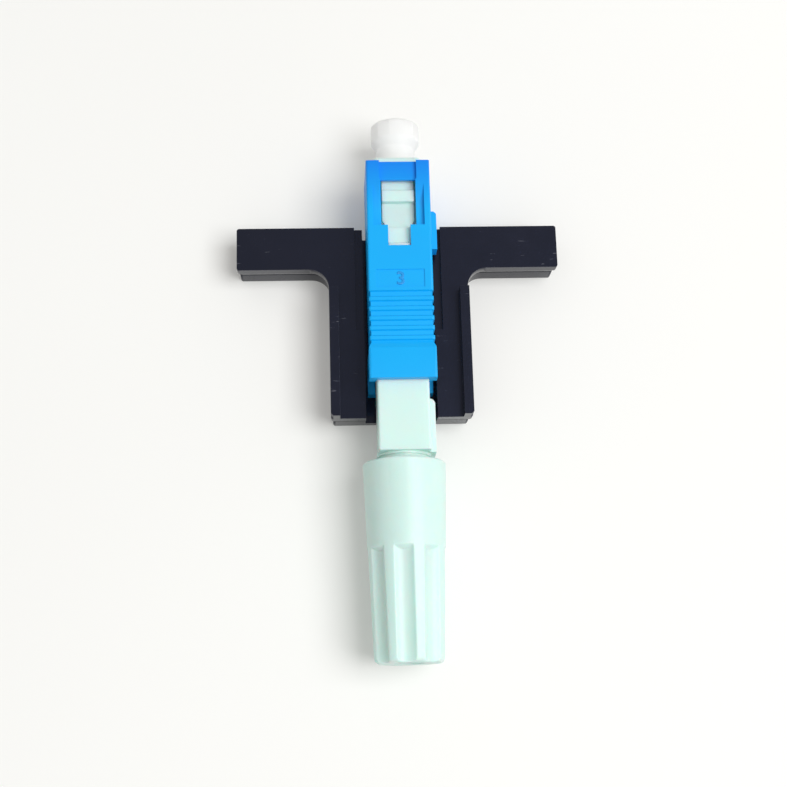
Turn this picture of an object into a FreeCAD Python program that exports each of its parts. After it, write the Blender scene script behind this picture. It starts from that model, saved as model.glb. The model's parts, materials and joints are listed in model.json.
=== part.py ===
import FreeCAD, Part
import math
import os
import re

import Sketcher

# A field-installable SC fibre connector, shipped clipped in its opening tool.
#
# Frame: +X right across the tool's wings, +Y towards the dust cap, +Z up.  The tool's flat
# underside is z = 0 and the origin is the middle of the whole object's box at the bottom.
# Every sub-part is drawn in a frame of its own: the connector's parts on the fibre axis with
# y = 0 at the grip shell's front face, and the tool on the bench below that point.  Lengths
# along the fibre are stated as distances back from the shell's front face ("_at" and "_end").

# ---------------------------------------------------------------- driving dimensions (mm)

SIZES = {
    # grip shell, the sliding outer housing
    "shell_wide": 7.4,
    "shell_tall": 9.0,
    "shell_long": 26.2,
    "shell_edge": 0.25,
    "narrow_end": 11.5,
    "recess_wide": 4.3,
    "recess_floor": 0.35,
    "window_wide": 4.05,
    "window_at": 2.3,
    "window_end": 8.0,
    "tongue_slot_wide": 2.6,
    "tongue_slot_end": 10.5,
    "ramp_wide": 5.9,
    "ramp_at": 2.9,
    "ramp_flat_at": 5.0,
    "ramp_floor": 0.25,
    "key_at": 5.05,
    "key_end": 9.75,
    "key_out": 0.87,
    "key_tall": 2.0,
    "key_bevel": 0.3,
    "panel_at": 13.4,
    "panel_end": 15.5,
    "panel_wide": 5.5,
    "panel_deep": 0.12,
    "groove_at": 15.9,
    "groove_wide": 0.78,
    "groove_slant": 0.14,
    "groove_deep": 0.2,
    "groove_pitch": 1.16,
    "groove_count": 5,
    "heel_rise": 0.12,
    "heel_floor": 0.3,
    "heel_long": 1.0,
    "heel_notch_deep": 2.6,
    "heel_notch_corner": 0.5,
    "heel_lip": 1.6,
    "shell_travel": 1.7,
    # plug frame
    "frame_wide": 5.7,
    "frame_tall": 7.2,
    "frame_out": 0.8,
    "frame_end": 13.6,
    "frame_edge": 0.7,
    "frame_bevel": 0.25,
    "slope_at": 1.5,
    "slope_start": 3.2,
    "slope_end": 3.42,
    "slope_deep": 0.4,
    "latch_at": 4.77,
    "latch_bend_at": 6.2,
    "latch_end": 8.0,
    "latch_deep": 0.7,
    "latch_rise": 0.25,
    "latch_wide": 4.4,
    "cheek_half": 1.87,
    "cheek_end_half": 1.3,
    "cheek_at": 1.5,
    "cheek_slant": 1.1,
    "cheek_deep": 1.2,
    "lip_at": 9.87,
    "lip_up": 0.45,
    "lip_gap": 0.05,
    "cap_bore_r": 2.5,
    "shoulder_at": 6.5,
    "shoulder_thick": 1.0,
    "shoulder_hole_r": 1.45,
    "flange_room_r": 2.35,
    "spigot_room_at": 10.6,
    "barb_at": 11.2,
    "barb_end": 12.4,
    "barb_tall": 2.4,
    "barb_inset": 0.1,
    # rear body with its threaded tail
    "body_wide": 5.85,
    "body_end": 34.2,
    "spigot_at": 10.7,
    "spigot_wide": 4.6,
    "spigot_tall": 5.6,
    "splice_room_wide": 3.6,
    "splice_room_tall": 4.0,
    "splice_room_end": 27.2,
    "wall_thick": 0.8,
    "tab_at": 28.0,
    "tab_out": 0.7,
    "tab_tall": 3.6,
    "tab_round": 0.8,
    "neck_r": 3.1,
    "relief_r": 2.85,
    "relief_gap": 0.25,
    "relief_long": 0.3,
    "neck_end": 46.0,
    "neck_taper_at": 43.4,
    "neck_tip_r": 2.5,
    "cable_r": 1.7,
    "finger_at": 38.0,
    "finger_slit": 1.0,
    "finger_count": 4,
    # ferrule, its flange and the mechanical splice
    "ferrule_r": 1.25,
    "ferrule_out": 1.5,
    "ferrule_end": 8.9,
    "ferrule_bevel": 0.35,
    "ferrule_bore_r": 0.08,
    "fibre_r": 0.0625,
    "fibre_end": 16.7,
    "flange_r": 2.2,
    "flange_bevel": 0.3,
    "flange_end": 9.0,
    "flange_tail": 10.6,
    "flange_tail_r": 1.7,
    "splice_end": 22.8,
    "splice_tall": 3.2,
    "base_thick": 1.46,
    "cover_thick": 1.3,
    "base_face": 0.04,
    "cover_face": 0.075,
    "vee_deep": 0.06,
    "notch_half": 0.28,
    "notch_tall": 0.55,
    "notch_taper": 0.2,
    "cover_at": 10.9,
    "cover_split": 16.7,
    "cover_split_gap": 0.2,
    "clip_thick": 0.15,
    "clip_long": 4.2,
    "clip_at": 11.8,
    "clip_pitch": 5.8,
    "clip_lift": 0.4,
    "ferrule_travel": 1.0,
    "spring_wire": 0.4,
    "spring_out_r": 1.7,
    "spring_turns": 5.0,
    "spring_steps": 14.0,
    # fibre guide funnel
    "guide_nose_at": 24.5,
    "guide_nose_r": 0.8,
    "guide_r": 1.5,
    "guide_end": 31.0,
    "guide_bore_r": 0.2,
    "guide_mouth_r": 1.1,
    # clamp collet and tail nut
    "collet_r": 2.75,
    "collet_tip_r": 2.1,
    "collet_long": 3.6,
    "collet_bore_r": 1.5,
    "collet_slit": 0.7,
    "collet_nose": 0.3,
    "collet_key_low": 0.2,
    "collet_key_long": 2.0,
    "nut_gap": 0.9,
    "nut_long": 22.3,
    "nut_front_r": 4.71,
    "nut_rear_r": 3.98,
    "nut_thread_r": 3.18,
    "nut_hole_r": 1.75,
    "nut_hole_long": 6.4,
    "nut_rear_edge": 0.5,
    "nut_front_edge": 0.2,
    "flute_at": 44.8,
    "flute_shoulder": 0.55,
    "flute_r": 1.5,
    "flute_deep": 0.6,
    "flute_count": 8,
    "flute_turn": 7.0,
    # dust cap
    "cap_out": 6.2,
    "cap_r": 2.95,
    "cap_flat_deep": 0.09,
    "cap_flats": 12,
    "cap_face_r": 2.6,
    "cap_nose": 0.3,
    "cap_wide_end": 4.05,
    "cap_neck_r": 2.3,
    "cap_neck_at": 3.0,
    "cap_neck_end": 0.8,
    "cap_tube_r": 1.9,
    "cap_tip_gap": 0.4,
    # opening tool, a moulded channel with two wings
    "tool_floor": 1.08,
    "plate_top": 4.7,
    "step_top": 3.4,
    "step_inset": 0.25,
    "wing_half": 19.0,
    "wing_at": 6.2,
    "wing_end": 11.4,
    "leg_half": 8.2,
    "leg_end": 29.5,
    "wing_fillet": 2.3,
    "corner_round": 0.3,
    "channel_half": 4.15,
    "ledge_half": 5.1,
    "ledge_low": 0.8,
    "ledge_end": 18.95,
    "rib_at": 14.1,
    "rib_wide": 1.08,
    "rib_top": 6.3,
    "blade_at": 14.2,
    "blade_long": 1.6,
    "blade_pitch": 5.4,
    "blade_half": 0.21,
    "blade_root_half": 0.4,
    "blade_nose_half": 0.13,
    "blade_tip_low": 1.1,
    "blade_nose_low": 0.5,
    "blade_root_low": 1.2,
    # clearances
    "slide_gap": 0.05,
    "seat_gap": 0.05,
    "slot_gap": 0.15,
    # how far a pad sinks into what carries it, and a cut runs past what it cuts
    "root_sink": 0.3,
    "cut_over": 1.0,
}

# Two lengths this near are the same, and an edge this near to a line belongs to it.
SAME = 1e-4
BESIDE = 0.01

doc = FreeCAD.newDocument("sc_fibre_connector")
sheet = doc.addObject("Spreadsheet::Sheet", "Sizes")
for row, (alias, number) in enumerate(SIZES.items(), start=1):
    sheet.set(f"A{row}", alias.replace("_", " "))
    sheet.set(f"B{row}", str(number))
    sheet.setAlias(f"B{row}", alias)
doc.recompute()


def bound(text):
    """The expression on the sheet for a text that names its aliases bare."""
    def cell(match):
        word = match.group(0)
        return f"Sizes.{word}" if word in SIZES else word
    return re.sub(r"[A-Za-z_]\w*", cell, text)


# Places that several sub-parts share, as expressions.
AXIS_UP = "(tool_floor + seat_gap + heel_rise + shell_tall / 2)"
NUT_AT = "(body_end + nut_gap)"
NUT_END = f"({NUT_AT} + nut_long)"
FRONT_Y = f"(({NUT_END} - cap_out) / 2)"
HEEL_AT = "(groove_at + groove_count * groove_pitch)"
NARROW_WIDE = "(frame_wide + 2 * slide_gap)"
NARROW_TALL = "(frame_tall + 2 * slide_gap)"
BACK_WIDE = "(body_wide + 4 * slide_gap)"
BACK_TALL = "(frame_tall + 3 * slide_gap)"
SLOT_HALF = "(blade_root_half + slot_gap)"
FLANGE_AT = "(shoulder_at + shoulder_thick + seat_gap)"
GUIDE_AT = "(splice_room_end + wall_thick)"

# ---------------------------------------------------------------- drawing helpers


def new_body(name, up=AXIS_UP):
    """A body whose own frame has y = 0 at the shell's front face, at a height."""
    body = doc.addObject("PartDesign::Body", name)
    body.Label = name
    body.setExpression("Placement.Base.y", bound(FRONT_Y))
    body.setExpression("Placement.Base.z", bound(up))
    return body


def new_sketch(body, name, role, lift):
    """An empty sketch on one of the body's own origin planes, lifted along its normal."""
    planes = [item for item in body.Origin.OriginFeatures if item.Role == role]
    drawing = body.newObject("Sketcher::SketchObject", name)
    drawing.AttachmentSupport = (planes[0], [""])
    drawing.MapMode = "FlatFace"
    drawing.setExpression("AttachmentOffset.Base.z", bound(lift))
    return drawing


def pin(drawing, curve, spot, across, along):
    """Fix one point of a curve at two bound coordinates."""
    for kind, text in (("DistanceX", across), ("DistanceY", along)):
        number = drawing.addConstraint(Sketcher.Constraint(kind, curve, spot, 1.0))
        drawing.setExpression(f"Constraints[{number}]", bound(text))


def polygon(drawing, corners):
    """A closed outline whose every corner is pinned to the sheet."""
    count = len(corners)
    first = drawing.GeometryCount
    turn = 2 * math.pi / count
    ring = [FreeCAD.Vector(math.cos(i * turn), math.sin(i * turn), 0) for i in range(count)]
    for i in range(count):
        drawing.addGeometry(Part.LineSegment(ring[i], ring[(i + 1) % count]), False)
    for i in range(count):
        after = first + (i + 1) % count
        drawing.addConstraint(Sketcher.Constraint("Coincident", first + i, 2, after, 1))
    for i, (across, along) in enumerate(corners):
        pin(drawing, first + i, 1, across, along)


def circle(drawing, radius, across="0", along="0"):
    """A circle with a bound radius and centre."""
    curve = drawing.addGeometry(Part.Circle(FreeCAD.Vector(), FreeCAD.Vector(0, 0, 1), 1), False)
    number = drawing.addConstraint(Sketcher.Constraint("Radius", curve, 1.0))
    drawing.setExpression(f"Constraints[{number}]", bound(radius))
    pin(drawing, curve, 3, across, along)


def box_corners(half_wide, low, high):
    """Corners of a rectangle centred across, between two heights."""
    return [
        (f"-({half_wide})", low),
        (half_wide, low),
        (half_wide, high),
        (f"-({half_wide})", high),
    ]


def cross_section(body, name, at, outlines):
    """A sketch across the fibre, at a distance back from the shell's front face."""
    drawing = new_sketch(body, name, "XZ_Plane", at)
    for corners in outlines:
        polygon(drawing, corners)
    return drawing


def plan(body, name, up, outlines):
    """A sketch seen from above; its corners are (across, distance back)."""
    drawing = new_sketch(body, name, "XY_Plane", up)
    for corners in outlines:
        polygon(drawing, [(across, f"-({back})") for across, back in corners])
    return drawing


def side_view(body, name, right, outlines):
    """A sketch seen from the right; its corners are (distance back, height)."""
    drawing = new_sketch(body, name, "YZ_Plane", right)
    for corners in outlines:
        polygon(drawing, [(f"-({back})", high) for back, high in corners])
    return drawing


def extrude(body, kind, name, drawing, length, symmetric=False, reverse=False):
    """A Pad or a Pocket of a bound length."""
    feature = body.newObject(f"PartDesign::{kind}", name)
    feature.Profile = drawing
    feature.setExpression("Length", bound(length))
    feature.SideType = "Symmetric" if symmetric else "One side"
    feature.Reversed = reverse
    return feature


def spin(body, kind, name, corners, axis="H_Axis"):
    """A Revolution or a Groove of a side view about the fibre axis or an edge."""
    drawing = side_view(body, f"{name}_profile", "0", [corners])
    feature = body.newObject(f"PartDesign::{kind}", name)
    feature.Profile = drawing
    feature.ReferenceAxis = (drawing, [axis])
    feature.Angle = 360
    return feature


def polar(body, name, original, count):
    """Copies of a feature about the fibre axis."""
    pattern = body.newObject("PartDesign::PolarPattern", name)
    axes = [item for item in body.Origin.OriginFeatures if item.Role == "Y_Axis"]
    pattern.Originals = [original]
    pattern.Axis = (axes[0], [""])
    pattern.Angle = 360
    pattern.setExpression("Occurrences", bound(count))
    body.Tip = pattern
    return pattern


def mirror(body, name, originals, role):
    """Copies of features on the other side of an origin plane."""
    copy = body.newObject("PartDesign::Mirrored", name)
    planes = [item for item in body.Origin.OriginFeatures if item.Role == role]
    copy.Originals = originals
    copy.MirrorPlane = (planes[0], [""])
    body.Tip = copy
    return copy


def dress(body, kind, name, size, test):
    """A Fillet or Chamfer on the edges of the body's tip that pass a test."""
    doc.recompute()
    base = body.Tip
    names = [f"Edge{i}" for i, edge in enumerate(base.Shape.Edges, start=1) if test(edge)]
    feature = body.newObject(f"PartDesign::{kind}", name)
    feature.Base = (base, names)
    feature.setExpression("Radius" if kind == "Fillet" else "Size", bound(size))
    return feature


def near(one, other):
    """Whether two lengths are the same."""
    return abs(one - other) < SAME


def is_straight(edge, direction):
    """Whether an edge is a straight line along X, Y or Z of the body's frame."""
    if not isinstance(edge.Curve, Part.Line):
        return False
    along = edge.tangentAt(edge.FirstParameter)
    return near(abs(getattr(along, direction)), 1)


# ---------------------------------------------------------------- grip shell


def groove_outline(surface):
    """One groove of the grip with slanting walls, cut into a face at a height."""
    return [
        ("groove_at", surface),
        ("groove_at + groove_slant", f"{surface} - groove_deep"),
        ("groove_at + groove_wide - groove_slant", f"{surface} - groove_deep"),
        ("groove_at + groove_wide", surface),
        ("groove_at + groove_wide", f"{surface} + cut_over"),
        ("groove_at", f"{surface} + cut_over"),
    ]


def heel_outline(surface):
    """The last groove, whose long rear slope climbs to the raised heel."""
    return [
        (HEEL_AT, surface),
        (f"{HEEL_AT} + groove_slant", f"{surface} - groove_deep"),
        (f"{HEEL_AT} + groove_slant + slot_gap", f"{surface} - groove_deep"),
        (f"{HEEL_AT} + heel_long", f"{surface} + heel_rise"),
        (f"{HEEL_AT} + heel_long", f"{surface} + cut_over"),
        (HEEL_AT, f"{surface} + cut_over"),
    ]


def cut_round_grip(body, name, outline):
    """A cut of one outline in the shell's top, bottom and both sides."""
    upright = outline("shell_tall / 2")
    below = [(back, f"-({high})") for back, high in upright]
    flat = side_view(body, f"{name}_side", "0", [upright, below])
    first = extrude(body, "Pocket", name, flat, "shell_wide + 2 * cut_over", symmetric=True)
    right = [(across, back) for back, across in outline("shell_wide / 2")]
    left = [(f"-({across})", back) for across, back in right]
    beside = plan(body, f"{name}_plan", "0", [right, left])
    second = extrude(body, "Pocket", f"{name}_sides", beside, "shell_tall + 2 * cut_over",
                     symmetric=True)
    return [first, second]


def make_grip_shell():
    """The sliding outer housing: a square tube with windows, a key and a ribbed grip."""
    body = new_body("grip_shell")
    outer = box_corners("shell_wide / 2", "-shell_tall / 2", "shell_tall / 2")
    block = cross_section(body, "shell_section", "0", [outer])
    extrude(body, "Pad", "shell_block", block, "shell_long")
    key = plan(body, "key_plan", "0", [[
        ("shell_wide / 2 - root_sink", "key_at"),
        ("shell_wide / 2 + key_out - key_bevel", "key_at"),
        ("shell_wide / 2 + key_out", "key_at + key_bevel"),
        ("shell_wide / 2 + key_out", "key_end"),
        ("shell_wide / 2 - root_sink", "key_end"),
    ]])
    dress(body, "Fillet", "shell_long_edges", "shell_edge", lambda edge: is_straight(edge, "y"))
    extrude(body, "Pad", "key", key, "key_tall", symmetric=True)
    heel = cross_section(body, "heel_section", f"{HEEL_AT} + heel_floor", [
        box_corners("shell_wide / 2 + heel_rise", "-shell_tall / 2 - heel_rise",
                    "shell_tall / 2 + heel_rise"),
    ])
    extrude(body, "Pad", "heel", heel, f"shell_long - {HEEL_AT} - heel_floor")
    dress(body, "Fillet", "heel_long_edges", "shell_edge", lambda edge: (
        is_straight(edge, "y")
        and abs(edge.CenterOfMass.x) > SIZES["shell_wide"] / 2 + SAME
        and abs(edge.CenterOfMass.z) > SIZES["shell_tall"] / 2 + SAME))
    grooves = cut_round_grip(body, "grip_groove", groove_outline)
    repeat = body.newObject("PartDesign::LinearPattern", "grip_grooves")
    axes = [item for item in body.Origin.OriginFeatures if item.Role == "Y_Axis"]
    repeat.Originals = grooves
    repeat.Direction = (axes[0], [""])
    repeat.Reversed = True
    repeat.setExpression("Occurrences", bound("groove_count"))
    repeat.setExpression("Length", bound("groove_pitch * (groove_count - 1)"))
    body.Tip = repeat
    cut_round_grip(body, "heel_slope", heel_outline)
    notch_half = "(shell_tall / 2 - heel_lip)"
    notch_at = "(shell_long - heel_notch_deep)"
    notch = side_view(body, "heel_notch_side", "0", [[
        (notch_at, f"heel_notch_corner - {notch_half}"),
        (f"{notch_at} + heel_notch_corner", f"-{notch_half}"),
        ("shell_long + cut_over", f"-{notch_half}"),
        ("shell_long + cut_over", notch_half),
        (f"{notch_at} + heel_notch_corner", notch_half),
        (notch_at, f"{notch_half} - heel_notch_corner"),
    ]])
    extrude(body, "Pocket", "heel_notches", notch, "shell_wide + 2 * cut_over", symmetric=True)

    front_room = cross_section(body, "front_room", "0", [
        box_corners(f"{NARROW_WIDE} / 2", f"-{NARROW_TALL} / 2", f"{NARROW_TALL} / 2"),
    ])
    extrude(body, "Pocket", "front_cavity", front_room, "narrow_end", reverse=True)
    back_room = cross_section(body, "back_room", "narrow_end", [
        box_corners(f"{BACK_WIDE} / 2", f"-{BACK_TALL} / 2", f"{BACK_TALL} / 2"),
    ])
    extrude(body, "Pocket", "back_cavity", back_room, "shell_long - narrow_end", reverse=True)
    window = plan(body, "window_plan", "0", [[
        ("-window_wide / 2", "window_at"),
        ("window_wide / 2", "window_at"),
        ("window_wide / 2", "window_end"),
        ("tongue_slot_wide / 2", "window_end"),
        ("tongue_slot_wide / 2", "tongue_slot_end"),
        ("-tongue_slot_wide / 2", "tongue_slot_end"),
        ("-tongue_slot_wide / 2", "window_end"),
        ("-window_wide / 2", "window_end"),
    ]])
    extrude(body, "Pocket", "windows", window, "shell_tall + cut_over", symmetric=True)
    recess = side_view(body, "recess_side", "0", [[
        ("-cut_over", f"{NARROW_TALL} / 2 + recess_floor"),
        ("window_at", f"{NARROW_TALL} / 2 + recess_floor"),
        ("window_at", "shell_tall / 2 + cut_over"),
        ("-cut_over", "shell_tall / 2 + cut_over"),
    ]])
    recess_cut = extrude(body, "Pocket", "recess", recess, "recess_wide", symmetric=True)
    mirror(body, "recesses", [recess_cut], "XY_Plane")
    ramp = side_view(body, "ramp_side", "0", [[
        ("ramp_at", "shell_tall / 2"),
        ("ramp_flat_at", f"{NARROW_TALL} / 2 + ramp_floor"),
        ("window_end", f"{NARROW_TALL} / 2 + ramp_floor"),
        ("window_end", "shell_tall / 2 + cut_over"),
        ("ramp_at", "shell_tall / 2 + cut_over"),
    ]])
    ramp_cut = extrude(body, "Pocket", "ramp", ramp, "ramp_wide", symmetric=True)
    mirror(body, "ramps", [ramp_cut], "XY_Plane")
    panel = side_view(body, "panel_side", "0", [[
        ("panel_at", "shell_tall / 2 - panel_deep"),
        ("panel_end", "shell_tall / 2 - panel_deep"),
        ("panel_end", "shell_tall / 2 + cut_over"),
        ("panel_at", "shell_tall / 2 + cut_over"),
    ]])
    extrude(body, "Pocket", "panel", panel, "panel_wide", symmetric=True)
    slots = plan(body, "blade_slot_plan", "0", [
        [
            (f"-{SLOT_HALF}", f"blade_at + {step} * blade_pitch - shell_travel - slot_gap"),
            (SLOT_HALF, f"blade_at + {step} * blade_pitch - shell_travel - slot_gap"),
            (SLOT_HALF, f"blade_at + {step} * blade_pitch + blade_long + slot_gap"),
            (f"-{SLOT_HALF}", f"blade_at + {step} * blade_pitch + blade_long + slot_gap"),
        ]
        for step in (0, 1)
    ])
    extrude(body, "Pocket", "blade_slots", slots, "shell_tall / 2 + cut_over")
    return body


# ---------------------------------------------------------------- plug frame


def make_plug_frame():
    """The inner plug that the adapter's hooks hold, with its latch ridges and tongue lips."""
    body = new_body("plug_frame")
    block = cross_section(body, "frame_section", "-frame_out", [
        box_corners("frame_wide / 2", "-frame_tall / 2", "frame_tall / 2"),
    ])
    extrude(body, "Pad", "frame_block", block, "frame_end + frame_out")
    dress(body, "Fillet", "frame_long_edges", "frame_edge", lambda edge: is_straight(edge, "y"))
    dress(body, "Chamfer", "frame_front_bevel", "frame_bevel", lambda edge: (
        near(edge.CenterOfMass.y, SIZES["frame_out"])
        or near(edge.BoundBox.YMin, SIZES["frame_out"])))
    slope = side_view(body, "slope_side", "0", [[
        ("slope_at", "frame_tall / 2 - slope_deep"),
        ("slope_start", "frame_tall / 2 - slope_deep"),
        ("slope_end", "frame_tall / 2"),
        ("slope_end", "frame_tall / 2 + cut_over"),
        ("slope_at", "frame_tall / 2 + cut_over"),
    ]])
    slope_cut = extrude(body, "Pocket", "slope", slope, "latch_wide", symmetric=True)
    latch = side_view(body, "latch_side", "0", [[
        ("latch_at", "frame_tall / 2 - latch_deep"),
        ("latch_bend_at", "frame_tall / 2 - latch_deep"),
        ("latch_end", "frame_tall / 2 - latch_deep + latch_rise"),
        ("latch_end", "frame_tall / 2 + cut_over"),
        ("latch_at", "frame_tall / 2 + cut_over"),
    ]])
    latch_cut = extrude(body, "Pocket", "latch", latch, "latch_wide", symmetric=True)
    mirror(body, "latches", [slope_cut, latch_cut], "XY_Plane")
    cheek = [
        ("cheek_half", "cheek_at"),
        ("frame_wide / 2 + cut_over", "cheek_at"),
        ("frame_wide / 2 + cut_over", "latch_end"),
        ("cheek_end_half", "latch_end"),
        ("cheek_half", "latch_end - cheek_slant"),
    ]
    cheeks = plan(body, "cheek_plan", "frame_tall / 2 - cheek_deep", [
        cheek,
        [(f"-({across})", back) for across, back in cheek],
    ])
    cheek_cut = extrude(body, "Pocket", "cheek", cheeks, "cheek_deep + cut_over", reverse=True)
    mirror(body, "cheeks", [cheek_cut], "XY_Plane")
    lip = side_view(body, "lip_side", "0", [[
        ("lip_at", "frame_tall / 2 - root_sink"),
        ("tongue_slot_end - lip_gap", "frame_tall / 2 - root_sink"),
        ("tongue_slot_end - lip_gap", "frame_tall / 2 + lip_up"),
        ("lip_at + lip_up / 2", "frame_tall / 2 + lip_up"),
        ("lip_at", "frame_tall / 2"),
    ]])
    lip_pad = extrude(body, "Pad", "lip", lip, "tongue_slot_wide - 2 * slide_gap", symmetric=True)
    mirror(body, "lips", [lip_pad], "XY_Plane")
    bore = new_sketch(body, "cap_bore_section", "XZ_Plane", "-frame_out")
    circle(bore, "cap_bore_r")
    extrude(body, "Pocket", "cap_bore", bore, "frame_out + shoulder_at", reverse=True)
    hole = new_sketch(body, "shoulder_hole_section", "XZ_Plane", "0")
    circle(hole, "shoulder_hole_r")
    extrude(body, "Pocket", "shoulder_hole", hole, "frame_end", reverse=True)
    room = new_sketch(body, "flange_room_section", "XZ_Plane", "shoulder_at + shoulder_thick")
    circle(room, "flange_room_r")
    extrude(body, "Pocket", "flange_room", room, "frame_end", reverse=True)
    seat = cross_section(body, "spigot_room_section", "spigot_room_at", [
        box_corners("spigot_wide / 2 + seat_gap", "-spigot_tall / 2 - seat_gap",
                    "spigot_tall / 2 + seat_gap"),
    ])
    extrude(body, "Pocket", "spigot_room", seat, "frame_end", reverse=True)
    catch = side_view(body, "catch_side", "0", [[
        ("barb_at - seat_gap", "-barb_tall / 2 - seat_gap"),
        ("barb_end + seat_gap", "-barb_tall / 2 - seat_gap"),
        ("barb_end + seat_gap", "barb_tall / 2 + seat_gap"),
        ("barb_at - seat_gap", "barb_tall / 2 + seat_gap"),
    ]])
    extrude(body, "Pocket", "catch_windows", catch, "frame_wide + cut_over", symmetric=True)
    return body


# ---------------------------------------------------------------- rear body


def make_rear_body():
    """The rear housing: a spigot with two barbs, the splice room and the threaded tail."""
    body = new_body("rear_body")
    block = cross_section(body, "body_section", "frame_end", [
        box_corners("body_wide / 2", "-frame_tall / 2", "frame_tall / 2"),
    ])
    extrude(body, "Pad", "body_block", block, "body_end - frame_end")
    tab = plan(body, "tab_plan", "0", [[
        ("body_wide / 2 - root_sink", "tab_at"),
        ("body_wide / 2 + tab_out", "tab_at"),
        ("body_wide / 2 + tab_out", "body_end"),
        ("body_wide / 2 - root_sink", "body_end"),
    ]])
    dress(body, "Fillet", "body_long_edges", "shell_edge", lambda edge: is_straight(edge, "y"))
    extrude(body, "Pad", "tab", tab, "tab_tall", symmetric=True)
    dress(body, "Fillet", "tab_corner", "min(tab_round; 0.9 * tab_out)", lambda edge: (
        is_straight(edge, "z")
        and near(edge.CenterOfMass.x, SIZES["body_wide"] / 2 + SIZES["tab_out"])
        and near(edge.CenterOfMass.y, -SIZES["tab_at"])))
    spigot = cross_section(body, "spigot_section", "spigot_at", [
        box_corners("spigot_wide / 2", "-spigot_tall / 2", "spigot_tall / 2"),
    ])
    extrude(body, "Pad", "spigot", spigot, "frame_end - spigot_at")
    barbs = plan(body, "barb_plan", "0", [[
        ("-spigot_wide / 2", "barb_at"),
        ("spigot_wide / 2", "barb_at"),
        ("frame_wide / 2 - barb_inset", "barb_end"),
        ("barb_inset - frame_wide / 2", "barb_end"),
    ]])
    extrude(body, "Pad", "barbs", barbs, "barb_tall", symmetric=True)
    spin(body, "Revolution", "neck", [
        ("body_end - root_sink", "0"),
        ("body_end - root_sink", "relief_r"),
        ("body_end", "relief_r"),
        ("body_end", "neck_r"),
        ("body_end + relief_gap", "neck_r"),
        ("body_end + relief_gap", "relief_r"),
        ("body_end + relief_gap + relief_long", "relief_r"),
        ("body_end + relief_gap + relief_long", "neck_r"),
        ("neck_taper_at", "neck_r"),
        ("neck_end", "neck_tip_r"),
        ("neck_end", "0"),
    ])
    room = cross_section(body, "splice_room_section", "spigot_at", [
        box_corners("splice_room_wide / 2", "-splice_room_tall / 2", "splice_room_tall / 2"),
    ])
    extrude(body, "Pocket", "splice_room", room, "splice_room_end - spigot_at", reverse=True)
    spin(body, "Groove", "tail_bore", [
        ("splice_room_end - root_sink", "0"),
        ("splice_room_end - root_sink", "guide_nose_r"),
        (GUIDE_AT, "guide_nose_r"),
        (GUIDE_AT, "guide_r"),
        ("guide_end", "guide_r"),
        ("guide_end", "cable_r"),
        ("neck_end + cut_over", "cable_r"),
        ("neck_end + cut_over", "0"),
    ])
    slit = plan(body, "finger_slit_plan", "0", [[
        ("-finger_slit / 2", "finger_at"),
        ("finger_slit / 2", "finger_at"),
        ("finger_slit / 2", "neck_end + cut_over"),
        ("-finger_slit / 2", "neck_end + cut_over"),
    ]])
    slit_cut = extrude(body, "Pocket", "finger_slit_cut", slit, "2 * (neck_r + cut_over)",
                       symmetric=True)
    polar(body, "finger_slits", slit_cut, "finger_count")
    slots = plan(body, "body_slot_plan", "0", [
        [
            (f"-{SLOT_HALF}", f"blade_at + {step} * blade_pitch - slot_gap"),
            (SLOT_HALF, f"blade_at + {step} * blade_pitch - slot_gap"),
            (SLOT_HALF, f"blade_at + {step} * blade_pitch + blade_long + slot_gap"),
            (f"-{SLOT_HALF}", f"blade_at + {step} * blade_pitch + blade_long + slot_gap"),
        ]
        for step in (0, 1)
    ])
    extrude(body, "Pocket", "body_slots", slots, "shell_tall / 2")
    return body


# ---------------------------------------------------------------- ferrule and splice


def make_ferrule():
    """The polished ceramic ferrule with its bevelled tip and central bore."""
    body = new_body("ferrule")
    spin(body, "Revolution", "ferrule_turned", [
        ("-ferrule_out", "ferrule_bore_r"),
        ("-ferrule_out", "ferrule_r - ferrule_bevel"),
        ("ferrule_bevel - ferrule_out", "ferrule_r"),
        ("ferrule_end", "ferrule_r"),
        ("ferrule_end", "ferrule_bore_r"),
    ])
    return body


def make_ferrule_flange():
    """The collar pressed on the ferrule, which seats on the frame's shoulder."""
    body = new_body("ferrule_flange")
    spin(body, "Revolution", "flange_turned", [
        (FLANGE_AT, "ferrule_r"),
        (FLANGE_AT, "flange_r - flange_bevel"),
        (f"{FLANGE_AT} + flange_bevel", "flange_r"),
        ("flange_end", "flange_r"),
        ("flange_end", "flange_tail_r"),
        ("flange_tail", "flange_tail_r"),
        ("flange_tail", "ferrule_bore_r"),
        ("ferrule_end", "ferrule_bore_r"),
        ("ferrule_end", "ferrule_r"),
    ])
    return body


def make_fibre_stub():
    """The short length of bare fibre fixed in the ferrule and lying in the splice."""
    body = new_body("fibre_stub")
    spin(body, "Revolution", "fibre_drawn", [
        ("-ferrule_out", "0"),
        ("-ferrule_out", "fibre_r"),
        ("fibre_end", "fibre_r"),
        ("fibre_end", "0"),
    ])
    return body


def make_splice_base():
    """Half of the splice, with the vee groove for the fibre and the wedge notch below it."""
    body = new_body("splice_base")
    section = cross_section(body, "base_section", "flange_tail", [[
        ("-base_face - base_thick", "-splice_tall / 2"),
        ("-notch_half", "-splice_tall / 2"),
        ("-notch_half", "notch_tall - splice_tall / 2"),
        ("-base_face", "notch_tall + notch_taper - splice_tall / 2"),
        ("-base_face", "-vee_deep"),
        ("-base_face - vee_deep", "0"),
        ("-base_face", "vee_deep"),
        ("-base_face", "splice_tall / 2"),
        ("-base_face - base_thick", "splice_tall / 2"),
    ]])
    extrude(body, "Pad", "base_bar", section, "splice_end - flange_tail")
    return body


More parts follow.
